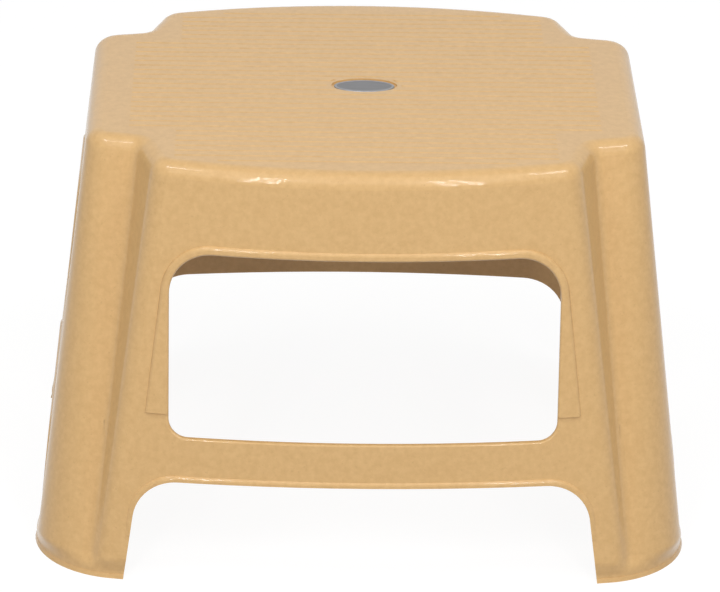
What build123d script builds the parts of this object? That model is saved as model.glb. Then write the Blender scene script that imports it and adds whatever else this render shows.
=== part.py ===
"""Moulded plastic stool: one hollow body with a seat, four splayed legs, windowed panels and a badge.

The body is open underneath.  X runs along the long side of the seat, Y across it and Z up.
The origin is on the floor, in the middle of the four feet.  Sizes are millimetres and degrees.
"""

import os
from dataclasses import dataclass, fields
from math import asin, atan2, cos, radians, sin, sqrt, tan

from build123d import *

# Overall sizes: the seat plane above the floor, and the plan at the seat and at the floor.
SEAT_HEIGHT = 240.0
SEAT_WIDTH = 306.4
SEAT_DEPTH = 266.0
BASE_WIDTH = 364.4
BASE_DEPTH = 306.0

# Bow of the front and rear panels, as a plan radius at the seat and at the floor.
SEAT_BOW_RADIUS = 385.0
BASE_BOW_RADIUS = 1080.0

# Legs: width of the outer face, from the side to the middle of the step, and how far it lies back.
SEAT_LEG_WIDTH = 33.4
BASE_LEG_WIDTH = 33.4
SEAT_STEP = 35.0
BASE_STEP = 7.5
LEG_FACE_ANGLE = 12.0
SEAT_WALL_ANGLE = 72.0
BASE_WALL_ANGLE = 52.0

# Plan roundings: panel edge, valley beside the leg, and leg corner.
SEAT_PANEL_ROUND = 14.0
BASE_PANEL_ROUND = 9.0
SEAT_VALLEY_ROUND = 7.0
BASE_VALLEY_ROUND = 6.0
SEAT_CORNER_ROUND = 14.0
BASE_CORNER_ROUND = 34.0

# Walls, seat skin and the rounded seat edge.
WALL = 2.6
SEAT_SKIN = 3.0
SEAT_EDGE_ROUND = 9.0

# Feet: below the cuff height the stepped outline swells into one plain quarter round at each corner.
FOOT_WIDTH = 364.8
FOOT_DEPTH = 284.0
FOOT_ROUND = 53.0
FOOT_BEAD_HEIGHT = 2.6
FOOT_RIM_HEIGHT = 4.5
CUFF_HEIGHT = 13.0

# Openings of the front and rear panels.
APRON_HEIGHT = 48.5
STRETCHER_HEIGHT = 25.0
GAP_HEIGHT = 60.4
WINDOW_LAND = 13.0
WINDOW_TOP_ROUND = 24.0
WINDOW_BOTTOM_ROUND = 10.5
GAP_LAND = 16.9
GAP_LEAN = 7.9
GAP_ROUND = 25.0

# Openings of the two sides, at the same heights.
SIDE_LEG_DEPTH = 34.0
SIDE_FOOT_DEPTH = 46.0

# Lips round the openings: each thickens from its lower ends towards the top of its opening.
LIP_PROUD = 0.9
LIP_END_PROUD = 0.1
LIP_ROUND = 2.4
WINDOW_LIP = 5.0
WINDOW_LIP_LEAN = 6.9
WINDOW_LIP_START = 14.0
GAP_LIP = 3.4
GAP_LIP_START = 27.0

# Softened edge of the windows.
MOUTH_ROUND = 1.2

# Bead round the bottom of the feet, which slopes back towards the skin.
BEAD_PROUD = 0.8
BEAD_END_PROUD = 0.15

# Stiffening ribs under the seat.
RIB_THICKNESS = 1.8
RIB_DEPTH = 8.0
RIB_PITCH = 72.0

# Anti-slip ridges on the seat.
RIDGE_PITCH = 7.0
RIDGE_BASE = 3.0
RIDGE_CREST = 1.2
RIDGE_RISE = 0.35
RIDGE_SIDE_MARGIN = 23.0
RIDGE_STEP_MARGIN = 19.0
RIDGE_EDGE_MARGIN = 11.0

# Badge: an oval plate stuck down in a shallow oval recess in the middle of the seat.
BADGE_LENGTH = 34.0
BADGE_WIDTH = 17.6
BADGE_THICKNESS = 0.6
BADGE_CLEARANCE = 1.5
RECESS_DEPTH = 1.1
RECESS_LAND = 2.5
ADHESIVE_THICKNESS = 0.2
ADHESIVE_MARGIN = 1.0

# Cuts run past the faces that they open by this length, and points this close count as one.
past = CUFF_HEIGHT
TOUCH = 0.01


@dataclass
class Level:
    """Sizes of the plan outline at one height."""

    half_width: float
    half_depth: float
    bow_radius: float
    leg_width: float
    step: float
    wall_angle: float
    face_angle: float
    panel_round: float
    valley_round: float
    corner_round: float


SEAT = Level(
    SEAT_WIDTH / 2,
    SEAT_DEPTH / 2,
    SEAT_BOW_RADIUS,
    SEAT_LEG_WIDTH,
    SEAT_STEP,
    SEAT_WALL_ANGLE,
    LEG_FACE_ANGLE,
    SEAT_PANEL_ROUND,
    SEAT_VALLEY_ROUND,
    SEAT_CORNER_ROUND,
)
BASE = Level(
    BASE_WIDTH / 2,
    BASE_DEPTH / 2,
    BASE_BOW_RADIUS,
    BASE_LEG_WIDTH,
    BASE_STEP,
    BASE_WALL_ANGLE,
    LEG_FACE_ANGLE,
    BASE_PANEL_ROUND,
    BASE_VALLEY_ROUND,
    BASE_CORNER_ROUND,
)


def level_at(z):
    """Plan sizes at height z, on the straight taper from the floor to the seat."""
    t = z / SEAT_HEIGHT
    values = []
    for item in fields(Level):
        low = getattr(BASE, item.name)
        high = getattr(SEAT, item.name)
        values.append(low + (high - low) * t)
    return Level(*values)


def quarter(level, inset=0.0):
    """Corner points of the front right quarter of the outline, moved inwards by inset.

    The points run from the end of the bow (p1) over the rounded panel edge (p2), the step wall (p3),
    the valley (p4) and the leg face (p5) to the leg's side (p6).  Each arc has its mid point as well.
    """
    wall = radians(level.wall_angle)
    face = radians(level.face_angle)
    # The start of the step is found so that the middle of its wall is leg_width from the side.
    centre_x = level.half_width - level.leg_width
    start_x = centre_x - level.panel_round * sin(wall)
    length = 0.0
    for _ in range(30):
        bow = asin(start_x / level.bow_radius)
        turn_in = level.panel_round * (cos(bow) - cos(wall))
        turn_out = level.valley_round * (cos(face) - cos(wall))
        length = (level.step - turn_in - turn_out) / sin(wall)
        start_x = centre_x - level.panel_round * (sin(wall) - sin(bow)) - length * cos(wall) / 2
    bow = asin(start_x / level.bow_radius)
    bow_y = level.bow_radius - level.half_depth
    first = (start_x, bow_y - level.bow_radius * cos(bow))
    panel = (first[0] - level.panel_round * sin(bow), first[1] + level.panel_round * cos(bow))
    valley = (
        panel[0] + (level.panel_round + level.valley_round) * sin(wall) + length * cos(wall),
        panel[1] - (level.panel_round + level.valley_round) * cos(wall) + length * sin(wall),
    )
    corner_x = level.half_width - level.corner_round
    face_x = valley[0] - level.valley_round * sin(face)
    face_y = valley[1] + level.valley_round * cos(face)
    face_length = (corner_x + level.corner_round * sin(face) - face_x) / cos(face)
    corner_y = face_y + face_length * sin(face) + level.corner_round * cos(face)

    def around(centre, radius, angle):
        return (centre[0] + radius * sin(angle), centre[1] - radius * cos(angle))

    bow_r = level.bow_radius - inset
    panel_r = level.panel_round - inset
    valley_r = -(level.valley_round + inset)
    corner_r = level.corner_round - inset
    corner = (corner_x, corner_y)
    quarter_turn = radians(90)
    return {
        "apex": around((0.0, bow_y), bow_r, 0.0),
        "p1": around((0.0, bow_y), bow_r, bow),
        "m12": around(panel, panel_r, (bow + wall) / 2),
        "p2": around(panel, panel_r, wall),
        "p3": around(valley, valley_r, wall),
        "m34": around(valley, valley_r, (wall + face) / 2),
        "p4": around(valley, valley_r, face),
        "p5": around(corner, corner_r, face),
        "m56": around(corner, corner_r, (face + quarter_turn) / 2),
        "p6": around(corner, corner_r, quarter_turn),
    }


def foot_quarter(taper, inset=0.0):
    """The points of a quarter moved straight out or in to the plain quarter round of a foot."""
    radius = FOOT_ROUND - inset
    centre_x = FOOT_WIDTH / 2 - FOOT_ROUND
    centre_y = FOOT_ROUND - FOOT_DEPTH / 2
    turn = {name: atan2(x - centre_x, centre_y - y) for name, (x, y) in taper.items()}
    turn["p6"] = radians(90)
    for middle, first, last in (("m12", "p1", "p2"), ("m34", "p3", "p4"), ("m56", "p5", "p6")):
        turn[middle] = (turn[first] + turn[last]) / 2
    foot = {}
    for name, angle in turn.items():
        foot[name] = (centre_x + radius * sin(angle), centre_y - radius * cos(angle))
    foot["apex"] = taper["apex"]
    return foot


def outline_at(z, inset=0.0):
    """Plan outline at height z: the straight taper, or the swelling towards the foot."""
    taper = quarter(level_at(z), inset)
    if z >= CUFF_HEIGHT:
        return outline(taper, z)
    t = min(1.0, (CUFF_HEIGHT - z) / (CUFF_HEIGHT - FOOT_RIM_HEIGHT))
    share = t * t * (3 - 2 * t)
    foot = foot_quarter(taper, inset)
    blend = {}
    for name, (x, y) in taper.items():
        foot_x, foot_y = foot[name]
        blend[name] = (x + (foot_x - x) * share, y + (foot_y - y) * share)
    return outline(blend, z)


def outline(q, z):
    """Closed plan outline at height z, with the points of one quarter mirrored to all four."""

    def point(name, sx, sy):
        x, y = q[name]
        return (sx * x, sy * y, z)

    def bow(sx, sy):
        return ThreePointArc(point("p1", -sx, sy), point("apex", 1, sy), point("p1", sx, sy))

    def corner(sx, sy, outward):
        runs = [("p1", "m12", "p2"), ("p2", "p3"), ("p3", "m34", "p4"), ("p4", "p5"), ("p5", "m56", "p6")]
        if not outward:
            runs = [run[::-1] for run in runs[::-1]]
        edges = []
        for run in runs:
            points = [point(name, sx, sy) for name in run]
            edges.append(ThreePointArc(*points) if len(points) == 3 else Line(*points))
        return edges

    edges = [bow(1, 1)]
    edges += corner(1, 1, True)
    edges.append(Line(point("p6", 1, 1), point("p6", 1, -1)))
    edges += corner(1, -1, False)
    edges.append(bow(-1, -1))
    edges += corner(-1, -1, True)
    edges.append(Line(point("p6", -1, -1), point("p6", -1, 1)))
    edges += corner(-1, 1, False)
    return Wire([edge.edge() for edge in edges])


def ruled(*wires):
    """Solid with straight walls from each outline to the next."""
    return Solid.make_loft(list(wires), ruled=True)


def block(bottom, top, inset=0.0):
    """Tapering solid between two heights, inside the skin by inset, with its top edge rounded to match."""
    solid = ruled(outline_at(bottom, inset), outline_at(top, inset))
    top_edges = solid.edges().group_by(Axis.Z)[-1]
    return fillet(top_edges, SEAT_EDGE_ROUND - inset)


def form(bottom, top, inset=0.0):
    """The whole form of the stool, inside the skin by inset: swelling feet, then tapering walls."""
    third = (CUFF_HEIGHT - FOOT_RIM_HEIGHT) / 3
    heights = [FOOT_RIM_HEIGHT, FOOT_RIM_HEIGHT + third, CUFF_HEIGHT - third, CUFF_HEIGHT]
    rim = ruled(outline_at(bottom, inset), outline_at(FOOT_RIM_HEIGHT, inset))
    cuffs = Solid.make_loft([outline_at(z, inset) for z in heights], ruled=False)
    return rim + cuffs + block(CUFF_HEIGHT, top, inset)


# Outer skin, and the hollow inside it, one wall thickness in.
ceiling = SEAT_HEIGHT - SEAT_SKIN
skin = form(0.0, SEAT_HEIGHT)
hollow = form(-past, ceiling, WALL)

# Heights and half widths of the openings.
window_top = SEAT_HEIGHT - APRON_HEIGHT
window_bottom = GAP_HEIGHT + STRETCHER_HEIGHT
window_half = SEAT.half_width - SEAT.leg_width - WINDOW_LAND
gap_half = BASE.half_width - BASE.leg_width - GAP_LAND
side_window_half = -quarter(SEAT)["p4"][1] - SIDE_LEG_DEPTH
side_gap_half = -quarter(BASE)["p4"][1] - SIDE_FOOT_DEPTH


def lean(height, angle):
    return height * tan(radians(angle))


def rounded(points, rounds):
    """Face with straight sides through the points, each corner with its own rounding."""
    wire = Polyline(*points, close=True).wire()
    shape = Face(wire)
    for (x, y), radius in zip(points, rounds):
        if radius > 0:
            corner = shape.vertices().sort_by_distance((x, y, 0))[0]
            shape = fillet(corner, radius)
            shape = shape.face() if not isinstance(shape, Face) else shape
    return shape


def opening(half, grow=0.0, lean_angle=0.0):
    """Window outline in (across, up), grown for its lip."""
    top = window_top + grow
    bottom = window_bottom - grow
    top_round = WINDOW_TOP_ROUND + grow
    low_round = WINDOW_BOTTOM_ROUND + grow
    high = half + grow - lean(top_round, lean_angle)
    low = high + lean(top - bottom, lean_angle)
    points = [(-low, bottom), (low, bottom), (high, top), (-high, top)]
    return rounded(points, [low_round, low_round, top_round, top_round])


def leg_gap(half, grow=0.0):
    """Gap between two feet, open at the floor, in (across, up)."""
    top = GAP_HEIGHT + grow
    low = half + grow + lean(past, GAP_LEAN)
    high = half + grow - lean(top, GAP_LEAN)
    points = [(-low, -past), (low, -past), (high, top), (-high, top)]
    corner = GAP_ROUND + grow
    return rounded(points, [0.0, 0.0, corner, corner])


def through(face, across):
    """Prism of a face in (across, up), right through the stool along Y or along X."""
    reach = max(BASE_WIDTH, BASE_DEPTH) / 2 + past
    plane = Plane.XZ if across == "X" else Plane.YZ
    placed = plane * face
    return extrude(placed, amount=reach, both=True)


def mouth_start(across):
    """Distance from the middle, well inside the wall, at which the mouth of an opening starts."""
    return SEAT.half_depth - SEAT.step if across == "X" else SEAT.half_width - SEAT.corner_round


def mouths(face, across):
    """Prisms of a face in (across, up), out through the two opposite walls."""
    start = mouth_start(across)
    reach = max(BASE_WIDTH, BASE_DEPTH) / 2 + past
    plane = Plane.XZ if across == "X" else Plane.YZ
    placed = plane.offset(start) * face
    one = extrude(placed, amount=reach - start)
    return one + mirror(one, about=plane)


def mouth_edges(solid, face, across):
    """Edges of a solid where the prism of a face breaks through its outer skin."""
    limit = mouth_start(across)
    rim = face.outer_wire()
    chosen = []
    for edge in solid.edges():
        apart = 0.0
        reach = limit
        for share in (0.0, 0.5, 1.0):
            point = edge.position_at(share)
            along, out = (point.X, point.Y) if across == "X" else (point.Y, point.X)
            reach = min(reach, abs(out))
            apart = max(apart, rim.distance_to(Vertex(along, point.Z, 0.0)))
        if reach >= limit and apart < TOUCH:
            chosen.append(edge)
    return chosen


def soften(solid, face, across):
    """Rounds the edges where the prism of a face breaks through the outer skin of a solid."""
    return fillet(mouth_edges(solid, face, across), MOUTH_ROUND)


def is_outer(face, across):
    """Whether a face of a prism's block is part of its outer skin, across the prism."""
    normal = face.normal_at(face.center())
    return abs(normal.Y if across == "X" else normal.X) > sin(radians(30))


def lip(face, hole, across, start, full):
    """Lip round a hole, with a soft shoulder: it starts at one height, and is thickest from another up."""
    slope = (LIP_PROUD - LIP_END_PROUD) / (full - start)
    top = full + past
    form_inset = -LIP_END_PROUD - slope * (top - start)
    solid = ruled(outline_at(start, -LIP_END_PROUD), outline_at(top, form_inset))
    solid = solid & through(face, across)
    outer = [edge for item in solid.faces() if is_outer(item, across) for edge in item.edges()]
    shoulder = []
    for edge in outer:
        shared = [other for other in outer if other.is_same(edge)]
        if len(shared) == 1 and edge.center().Z > start + LIP_END_PROUD:
            shoulder.append(edge)
    return fillet(shoulder, LIP_ROUND) - through(hole, across)


window = opening(window_half)
side_window = opening(side_window_half)
gap = leg_gap(gap_half)
side_gap = leg_gap(side_gap_half)
window_lip = opening(window_half, WINDOW_LIP, WINDOW_LIP_LEAN)
side_window_lip = opening(side_window_half, WINDOW_LIP, WINDOW_LIP_LEAN)
window_lip_start = window_bottom + WINDOW_LIP_START
lips = [
    soften(lip(window_lip, window, "X", window_lip_start, window_top), window, "X"),
    soften(lip(side_window_lip, side_window, "Y", window_lip_start, window_top), side_window, "Y"),
    lip(leg_gap(gap_half, GAP_LIP), gap, "X", GAP_LIP_START, GAP_HEIGHT),
    lip(leg_gap(side_gap_half, GAP_LIP), side_gap, "Y", GAP_LIP_START, GAP_HEIGHT),
]

bead = ruled(outline_at(0.0, -BEAD_PROUD), outline_at(FOOT_BEAD_HEIGHT, -BEAD_END_PROUD))


def spread(limit, pitch):
    """Places a pitch apart, on both sides of the middle, within the limit."""
    count = int(limit / pitch)
    return [n * pitch for n in range(-count, count + 1)]


# Ribs hang from the underside of the seat, and end inside the seat skin and the walls.
rib_top = ceiling + SEAT_SKIN / 2
rib_bottom = ceiling - RIB_DEPTH
rib_height = rib_top - rib_bottom
rib_middle = (rib_top + rib_bottom) / 2
ribs = []
for x in spread(SEAT.half_width - SEAT.leg_width, RIB_PITCH):
    ribs.append(Pos(x, 0, rib_middle) * Box(RIB_THICKNESS, BASE_DEPTH, rib_height))
for y in spread(SEAT.half_depth - SEAT.step - SEAT.corner_round, RIB_PITCH):
    ribs.append(Pos(0, y, rib_middle) * Box(BASE_WIDTH, RIB_THICKNESS, rib_height))
rib_grid = Part() + ribs
rib_grid = rib_grid & block(rib_bottom, rib_top, WALL / 2)

# Ridges on the seat: low bars with sloping flanks, clear of the seat edge and of the badge.
recess_length = BADGE_LENGTH + 2 * BADGE_CLEARANCE
recess_width = BADGE_WIDTH + 2 * BADGE_CLEARANCE
seat_quarter = quarter(SEAT)
crossbar_y = -seat_quarter["p4"][1] - RIDGE_STEP_MARGIN
crossbar_x = SEAT.half_width - RIDGE_SIDE_MARGIN
centre_x = seat_quarter["p2"][0] - RIDGE_STEP_MARGIN + SEAT_PANEL_ROUND / 2
ridges = []
for at in spread(SEAT.half_depth - RIDGE_EDGE_MARGIN - SEAT_EDGE_ROUND, RIDGE_PITCH):
    room = SEAT.half_depth - RIDGE_EDGE_MARGIN - abs(at) - RIDGE_BASE / 2
    half = crossbar_x if abs(at) < crossbar_y else centre_x
    half = min(half, sqrt(2 * SEAT.bow_radius * room))
    section = Polyline(
        (at - RIDGE_BASE / 2, SEAT_HEIGHT - SEAT_SKIN / 2),
        (at + RIDGE_BASE / 2, SEAT_HEIGHT - SEAT_SKIN / 2),
        (at + RIDGE_BASE / 2, SEAT_HEIGHT),
        (at + RIDGE_CREST / 2, SEAT_HEIGHT + RIDGE_RISE),
        (at - RIDGE_CREST / 2, SEAT_HEIGHT + RIDGE_RISE),
        (at - RIDGE_BASE / 2, SEAT_HEIGHT),
        close=True,
    ).wire()
    ridges.append(extrude(Plane.YZ * Face(section), amount=half, both=True))
ridge_field = Part() + ridges


def oval(length, width, low, high):
    """Upright oval prism in the middle of the seat, between two heights."""
    return Pos(0, 0, low) * extrude(Ellipse(length / 2, width / 2), amount=high - low)


recess_floor = SEAT_HEIGHT - RECESS_DEPTH
recess = oval(recess_length, recess_width, recess_floor, SEAT_HEIGHT + past)
badge_land = oval(
    recess_length + 2 * RECESS_LAND,
    recess_width + 2 * RECESS_LAND,
    SEAT_HEIGHT,
    SEAT_HEIGHT + past,
)

# Body: skin with bead, pierced, lipped, hollowed, ribbed and ridged.
body = skin + bead
for hole, across in ((window, "X"), (side_window, "Y")):
    body = soften(body - mouths(hole, across), hole, across)
for hole, across in ((gap, "X"), (side_gap, "Y")):
    body = body - mouths(hole, across)
for item in lips:
    body = body + item
body = body - hollow
body = body + rib_grid
body = body + ridge_field
body = body - badge_land
body = body - recess

# Badge: an adhesive pad on the recess floor and the plate on the pad.
pad_top = recess_floor + ADHESIVE_THICKNESS
adhesive = oval(
    BADGE_LENGTH - 2 * ADHESIVE_MARGIN,
    BADGE_WIDTH - 2 * ADHESIVE_MARGIN,
    recess_floor,
    pad_top,
)
plate = oval(BADGE_LENGTH, BADGE_WIDTH, pad_top, pad_top + BADGE_THICKNESS)

nodes = {
    "stool_body": body,
    "badge_adhesive": adhesive,
    "badge_plate": plate,
}
os.makedirs("parts", exist_ok=True)
for name, shape in nodes.items():
    solids = shape.solids()
    piece = solids[0] if len(solids) == 1 else Compound(solids)
    export_step(piece, "parts/" + name + ".step")
    print(name, len(solids), round(shape.volume), shape.bounding_box().size)
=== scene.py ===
"""Low moulded stool on a white studio floor: glossy beige polypropylene with a plain oval badge."""

import math

import bmesh
import bpy
from mathutils import Matrix, Vector


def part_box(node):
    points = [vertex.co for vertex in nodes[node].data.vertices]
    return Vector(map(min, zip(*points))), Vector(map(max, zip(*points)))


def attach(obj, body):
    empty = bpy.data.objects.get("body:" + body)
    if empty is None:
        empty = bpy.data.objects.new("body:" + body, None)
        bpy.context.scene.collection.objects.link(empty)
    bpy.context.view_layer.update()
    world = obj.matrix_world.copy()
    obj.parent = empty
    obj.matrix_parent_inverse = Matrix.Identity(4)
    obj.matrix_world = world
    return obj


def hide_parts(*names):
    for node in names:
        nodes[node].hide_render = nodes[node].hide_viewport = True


MM = 0.001

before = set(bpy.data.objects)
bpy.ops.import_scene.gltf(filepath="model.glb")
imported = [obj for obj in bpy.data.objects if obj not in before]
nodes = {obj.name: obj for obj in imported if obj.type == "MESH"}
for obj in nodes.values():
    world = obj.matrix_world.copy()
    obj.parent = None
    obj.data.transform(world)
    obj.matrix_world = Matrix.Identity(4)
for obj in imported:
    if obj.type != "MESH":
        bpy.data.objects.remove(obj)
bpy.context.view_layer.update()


def linear(code):
    """Linear colour with full alpha from an sRGB hex code."""
    channels = []
    for start in (1, 3, 5):
        value = int(code[start:start + 2], 16) / 255
        channels.append(value / 12.92 if value <= 0.04045 else ((value + 0.055) / 1.055) ** 2.4)
    return (*channels, 1.0)


def add_node(tree, kind, inputs=None, **settings):
    """Adds a node, sets its properties, and fills or links its inputs by name or place."""
    node = tree.nodes.new(kind)
    for name, value in settings.items():
        setattr(node, name, value)
    for name, value in (inputs or {}).items():
        socket = node.inputs[name]
        if isinstance(value, bpy.types.NodeSocket):
            tree.links.new(value, socket)
        else:
            socket.default_value = value
    return node


def empty_tree(owner):
    """The node tree of a material or a world, cleared."""
    owner.use_nodes = True
    owner.node_tree.nodes.clear()
    return owner.node_tree


def new_material(name):
    """A new material and its empty node tree."""
    material = bpy.data.materials.new(name)
    return material, empty_tree(material)


def new_object(name, data):
    """A new object in the scene, from a mesh, a lamp or a camera."""
    thing = bpy.data.objects.new(name, data)
    bpy.context.scene.collection.objects.link(thing)
    return thing


def new_mesh_object(name, shape):
    """A new object in the scene with the faces of a bmesh, which is freed."""
    mesh = bpy.data.meshes.new(name)
    shape.to_mesh(mesh)
    shape.free()
    return new_object(name, mesh)


WHITE = linear("#FFFFFF")

# Colour sockets of a Mix node, by place, because its number and vector sockets have the same names.
MIX_FIRST = 6
MIX_SECOND = 7
MIX_RESULT = 2

# Moulded plastic: sizes in millimetres of the pigment mottle, the filler flecks and the orange peel.
MOTTLE_SIZE = 3.6
FLECK_SIZE = 1.5
PEEL_SIZE = 3.2
PEEL_HEIGHT = 0.004
BEIGE_DEEP = "#D4AB72"
BEIGE_PALE = "#DDB57C"
FLECK_BROWN = "#BE955F"
PLASTIC_IOR = 1.49


def moulded_polypropylene():
    """Polypropylene shot into a polished mould.

    It gives the eye a warm beige with a fine pigment mottle and a few darker flecks, under a clear gloss
    that shows lamps as small sharp spots.
    """
    material, tree = new_material("moulded_polypropylene")
    place = add_node(tree, "ShaderNodeTexCoord").outputs["Object"]
    mottle = add_node(
        tree,
        "ShaderNodeTexNoise",
        {"Vector": place, "Scale": 1 / (MOTTLE_SIZE * MM), "Detail": 4.0, "Roughness": 0.6},
    )
    mottle_share = add_node(
        tree, "ShaderNodeMapRange", {"Value": mottle.outputs["Fac"], "From Min": 0.32, "From Max": 0.68}
    )
    beige = add_node(
        tree,
        "ShaderNodeMix",
        {
            "Factor": mottle_share.outputs["Result"],
            MIX_FIRST: linear(BEIGE_DEEP),
            MIX_SECOND: linear(BEIGE_PALE),
        },
        data_type="RGBA",
    )
    fleck = add_node(
        tree,
        "ShaderNodeTexNoise",
        {"Vector": place, "Scale": 1 / (FLECK_SIZE * MM), "Detail": 2.0, "Roughness": 0.6},
    )
    fleck_share = add_node(
        tree,
        "ShaderNodeMapRange",
        {"Value": fleck.outputs["Fac"], "From Min": 0.64, "From Max": 0.76, "To Min": 0.0, "To Max": 0.4},
    )
    colour = add_node(
        tree,
        "ShaderNodeMix",
        {
            "Factor": fleck_share.outputs["Result"],
            MIX_FIRST: beige.outputs[MIX_RESULT],
            MIX_SECOND: linear(FLECK_BROWN),
        },
        data_type="RGBA",
    )
    peel = add_node(
        tree,
        "ShaderNodeTexNoise",
        {"Vector": place, "Scale": 1 / (PEEL_SIZE * MM), "Detail": 1.0, "Roughness": 0.5},
    )
    bump = add_node(
        tree,
        "ShaderNodeBump",
        {"Height": peel.outputs["Fac"], "Distance": PEEL_HEIGHT * MM, "Strength": 1.0},
    )
    roughness = add_node(
        tree,
        "ShaderNodeMapRange",
        {"Value": mottle_share.outputs["Result"], "To Min": 0.32, "To Max": 0.40},
    )
    shader = add_node(
        tree,
        "ShaderNodeBsdfPrincipled",
        {
            "Base Color": colour.outputs[MIX_RESULT],
            "Roughness": roughness.outputs["Result"],
            "Normal": bump.outputs["Normal"],
            "IOR": PLASTIC_IOR,
            "Specular IOR Level": 0.15,
            "Coat Weight": 0.55,
            "Coat Roughness": 0.08,
            "Coat IOR": PLASTIC_IOR,
        },
    )
    add_node(tree, "ShaderNodeOutputMaterial", {"Surface": shader.outputs["BSDF"]})
    return material


# Brushed metal: sizes in millimetres. The lines are drawn coarser than real ones, so that they show.
BRUSH_LINE = 0.35
BRUSH_LENGTH = 12.0


def brushed_aluminium(name, dark, light):
    """Thin aluminium sheet, pressed, brushed along its length and lacquered.

    It gives the eye a neutral grey with a soft sheen and faint lines along the oval.
    """
    material, tree = new_material(name)
    place = add_node(tree, "ShaderNodeTexCoord").outputs["Object"]
    along = 1 / (BRUSH_LENGTH * MM)
    across = 1 / (BRUSH_LINE * MM)
    stretched = add_node(tree, "ShaderNodeMapping", {"Vector": place, "Scale": (along, across, across)})
    brushing = add_node(
        tree, "ShaderNodeTexNoise", {"Vector": stretched.outputs["Vector"], "Scale": 1.0, "Detail": 2.0}
    )
    share = add_node(
        tree, "ShaderNodeMapRange", {"Value": brushing.outputs["Fac"], "From Min": 0.3, "From Max": 0.7}
    )
    grey = add_node(
        tree,
        "ShaderNodeMix",
        {"Factor": share.outputs["Result"], MIX_FIRST: linear(dark), MIX_SECOND: linear(light)},
        data_type="RGBA",
    )
    roughness = add_node(
        tree, "ShaderNodeMapRange", {"Value": share.outputs["Result"], "To Min": 0.34, "To Max": 0.48}
    )
    shader = add_node(
        tree,
        "ShaderNodeBsdfPrincipled",
        {
            "Base Color": grey.outputs[MIX_RESULT],
            "Roughness": roughness.outputs["Result"],
            "Metallic": 1.0,
        },
    )
    add_node(tree, "ShaderNodeOutputMaterial", {"Surface": shader.outputs["BSDF"]})
    return material


# Foam tape: the width of a pore in millimetres, drawn coarser than a real one, so that it shows.
PORE_SIZE = 0.4
FOAM_GREY = "#C6C5BF"
FOAM_WHITE = "#E2E1DA"


def acrylic_foam_tape():
    """White acrylic foam tape, cut to an oval.

    It gives the eye a dull off-white edge with fine pores.
    """
    material, tree = new_material("acrylic_foam_tape")
    place = add_node(tree, "ShaderNodeTexCoord").outputs["Object"]
    pores = add_node(tree, "ShaderNodeTexVoronoi", {"Vector": place, "Scale": 1 / (PORE_SIZE * MM)})
    white = add_node(
        tree,
        "ShaderNodeMix",
        {"Factor": pores.outputs["Distance"], MIX_FIRST: linear(FOAM_GREY), MIX_SECOND: linear(FOAM_WHITE)},
        data_type="RGBA",
    )
    shader = add_node(
        tree, "ShaderNodeBsdfPrincipled", {"Base Color": white.outputs[MIX_RESULT], "Roughness": 0.8}
    )
    add_node(tree, "ShaderNodeOutputMaterial", {"Surface": shader.outputs["BSDF"]})
    return material


def dress(name, material):
    """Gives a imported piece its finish."""
    piece = nodes[name]
    piece.data.materials.clear()
    piece.data.materials.append(material)


dress("stool_body", moulded_polypropylene())
dress("badge_adhesive", acrylic_foam_tape())

# Pressed badge: its rings as (inset from the oval's edge in millimetres, share of the plate's thickness),
# from the underside over the raised border to the sunk field. The first bands between rings are the border,
# and the others are the field.
BADGE_RINGS = (
    (0.15, 0.00),
    (0.00, 0.18),
    (0.00, 0.62),
    (0.10, 0.84),
    (0.35, 0.98),
    (0.60, 1.00),
    (1.05, 1.00),
    (1.30, 0.94),
    (1.50, 0.72),
    (1.80, 0.64),
    (3.50, 0.66),
    (6.00, 0.68),
)
BADGE_BORDER_BANDS = 8
BADGE_STEPS = 96
BORDER_FINISH = 0
FIELD_FINISH = 1


def pressed_badge():
    """Oval badge plate with a rolled edge, a raised border and a bare sunk field."""
    low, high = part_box("badge_plate")
    middle = [(a + b) / 2 for a, b in zip(low, high)]
    half_length = (high[0] - low[0]) / 2
    half_width = (high[1] - low[1]) / 2
    thickness = high[2] - low[2]
    shape = bmesh.new()
    rings = []
    for inset, share in BADGE_RINGS:
        ring = []
        for step in range(BADGE_STEPS):
            turn = 2 * math.pi * step / BADGE_STEPS
            x = middle[0] + (half_length - inset * MM) * math.cos(turn)
            y = middle[1] + (half_width - inset * MM) * math.sin(turn)
            ring.append(shape.verts.new((x, y, low[2] + share * thickness)))
        rings.append(ring)
    for band, (outer, inner) in enumerate(zip(rings, rings[1:])):
        for step in range(BADGE_STEPS):
            after = (step + 1) % BADGE_STEPS
            face = shape.faces.new((outer[step], outer[after], inner[after], inner[step]))
            face.material_index = BORDER_FINISH if band < BADGE_BORDER_BANDS else FIELD_FINISH
            face.smooth = True
    shape.faces.new(rings[0][::-1])
    shape.faces.new(rings[-1]).material_index = FIELD_FINISH
    badge = new_mesh_object("pressed_badge", shape)
    finishes = badge.data.materials
    finishes.append(brushed_aluminium("brushed_aluminium_border", dark="#8C8C8F", light="#A8A8AA"))
    finishes.append(brushed_aluminium("brushed_aluminium_field", dark="#727274", light="#8A8A8C"))
    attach(badge, "root")
    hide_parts("badge_plate")


pressed_badge()

# Studio: a white floor that keeps a faint shadow, its half width in metres, and a white sky.
FLOOR_HALF = 4.0
FLOOR_SQUARES = 8
FLOOR_PAINT = "#C0C0C0"
FLOOR_LIT_GREY = "#696969"
FLOOR_GLOW = 0.91
SKY_FILL = 0.33


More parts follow.
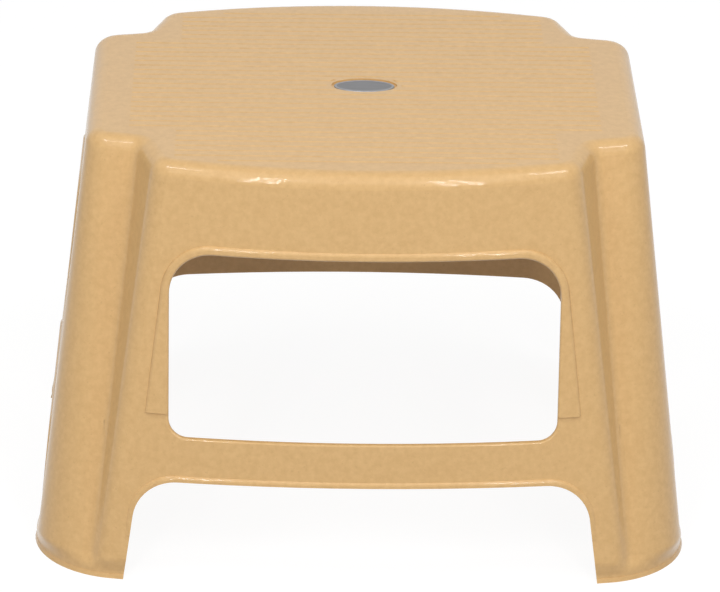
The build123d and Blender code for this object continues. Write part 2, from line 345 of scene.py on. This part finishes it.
def camera_sees(tree):
    """1 for the rays that show the surroundings: the camera's, and those in gloss and clear pieces."""
    path = add_node(tree, "ShaderNodeLightPath").outputs
    camera_or_gloss = add_node(
        tree, "ShaderNodeMath", {0: path["Is Camera Ray"], 1: path["Is Glossy Ray"]}, operation="MAXIMUM"
    )
    return add_node(
        tree,
        "ShaderNodeMath",
        {0: camera_or_gloss.outputs[0], 1: path["Is Transmission Ray"]},
        operation="MAXIMUM",
    ).outputs[0]


def white_floor():
    """Matt floor paint.

    It gives the eye plain white with a soft grey shadow under the stool: where it is seen, it glows, and a
    little lit grey keeps the shadow. The light that it throws back on the stool is that of a pale grey.
    """
    material, tree = new_material("white_floor_paint")
    paint = add_node(tree, "ShaderNodeBsdfDiffuse", {"Color": linear(FLOOR_PAINT)})
    lit = add_node(tree, "ShaderNodeBsdfDiffuse", {"Color": linear(FLOOR_LIT_GREY)})
    glow = add_node(tree, "ShaderNodeEmission", {"Color": WHITE, "Strength": FLOOR_GLOW})
    seen = add_node(tree, "ShaderNodeAddShader", {0: lit.outputs[0], 1: glow.outputs[0]})
    mixed = add_node(
        tree, "ShaderNodeMixShader", {"Fac": camera_sees(tree), 1: paint.outputs[0], 2: seen.outputs[0]}
    )
    add_node(tree, "ShaderNodeOutputMaterial", {"Surface": mixed.outputs[0]})
    return material


def make_floor():
    """The flat floor that the stool stands on."""
    grid = bmesh.new()
    bmesh.ops.create_grid(grid, x_segments=FLOOR_SQUARES, y_segments=FLOOR_SQUARES, size=FLOOR_HALF)
    floor = new_mesh_object("studio_floor", grid)
    floor.data.materials.append(white_floor())


def make_sky():
    """World: white where it is seen, and a soft even fill for the rest."""
    world = bpy.data.worlds.new("studio_sky")
    bpy.context.scene.world = world
    tree = empty_tree(world)
    strength = add_node(
        tree, "ShaderNodeMapRange", {"Value": camera_sees(tree), "To Min": SKY_FILL, "To Max": 1.0}
    )
    sky = add_node(
        tree, "ShaderNodeBackground", {"Color": WHITE, "Strength": strength.outputs["Result"]}
    )
    add_node(tree, "ShaderNodeOutputWorld", {"Surface": sky.outputs["Background"]})


make_floor()
make_sky()

# Lamps: a large soft light above and in front, bright upright bars on both sides of the camera that leave
# small highlights on the seat's edge, and a small lamp on each side for the tops of the legs. Each row has a
# name, azimuths and an elevation in degrees, a width and a height in metres, and the watts of each lamp.
# They all face one point under the seat, from the same distance.
LAMPS = (
    ("softbox_above", (0.0,), 58.0, (3.4, 2.4), 22.6),
    ("window_bar", (-19.2, -15.4, 15.6, 20.1), 32.0, (0.03, 1.6), 5.7),
    ("corner_lamp", (-54.0, 56.0), 58.0, (0.5, 0.3), 4.8),
)
LAMP_AIM = (0.0, 0.0, 0.18)
LAMP_DISTANCE = 2.4


def around_stool(azimuth, elevation):
    """A lamp's place: azimuth in degrees from the front towards the right, and height as an angle."""
    turn = math.radians(azimuth)
    rise = math.radians(elevation)
    level = LAMP_DISTANCE * math.cos(rise)
    return (
        LAMP_AIM[0] + level * math.sin(turn),
        LAMP_AIM[1] - level * math.cos(turn),
        LAMP_AIM[2] + LAMP_DISTANCE * math.sin(rise),
    )


def panel_light(name, place, size, watts):
    """A flat rectangular lamp at a place, facing the stool."""
    data = bpy.data.lights.new(name, "AREA")
    data.shape = "RECTANGLE"
    data.size, data.size_y = size
    data.energy = watts
    lamp = new_object(name, data)
    lamp.location = place
    lamp.rotation_euler = (Vector(LAMP_AIM) - Vector(place)).to_track_quat("-Z", "Y").to_euler()


for name, azimuths, elevation, size, watts in LAMPS:
    for azimuth in azimuths:
        panel_light(name, around_stool(azimuth, elevation), size, watts)

# Camera: in front of the stool with a long lens, looking down at it. Its place is in metres, its angles in
# degrees, its focal length in pixels of a picture of the given width, and its sensor in millimetres.
CAMERA_PLACE = (-0.05, -2.428905, 1.20264)
CAMERA_YAW = -1.1749
CAMERA_PITCH = 24.2206
CAMERA_ROLL = 1.0679
FOCAL_PIXELS = 4635.16
PHOTO_WIDTH = 720
SENSOR_WIDTH = 36.0


def make_camera():
    """The studio camera. Unturned, it looks straight down, so a tilt of 90 degrees would make it level."""
    data = bpy.data.cameras.new("studio_camera")
    data.sensor_fit = "HORIZONTAL"
    data.sensor_width = SENSOR_WIDTH
    data.lens = FOCAL_PIXELS * SENSOR_WIDTH / PHOTO_WIDTH
    camera = new_object("studio_camera", data)
    turn = Matrix.Rotation(math.radians(CAMERA_YAW), 4, "Z")
    tilt = Matrix.Rotation(math.radians(90 - CAMERA_PITCH), 4, "X")
    roll = Matrix.Rotation(math.radians(CAMERA_ROLL), 4, "Z")
    camera.matrix_world = Matrix.Translation(CAMERA_PLACE) @ turn @ tilt @ roll
    bpy.context.scene.camera = camera


make_camera()

bpy.context.scene.view_settings.view_transform = "Standard"
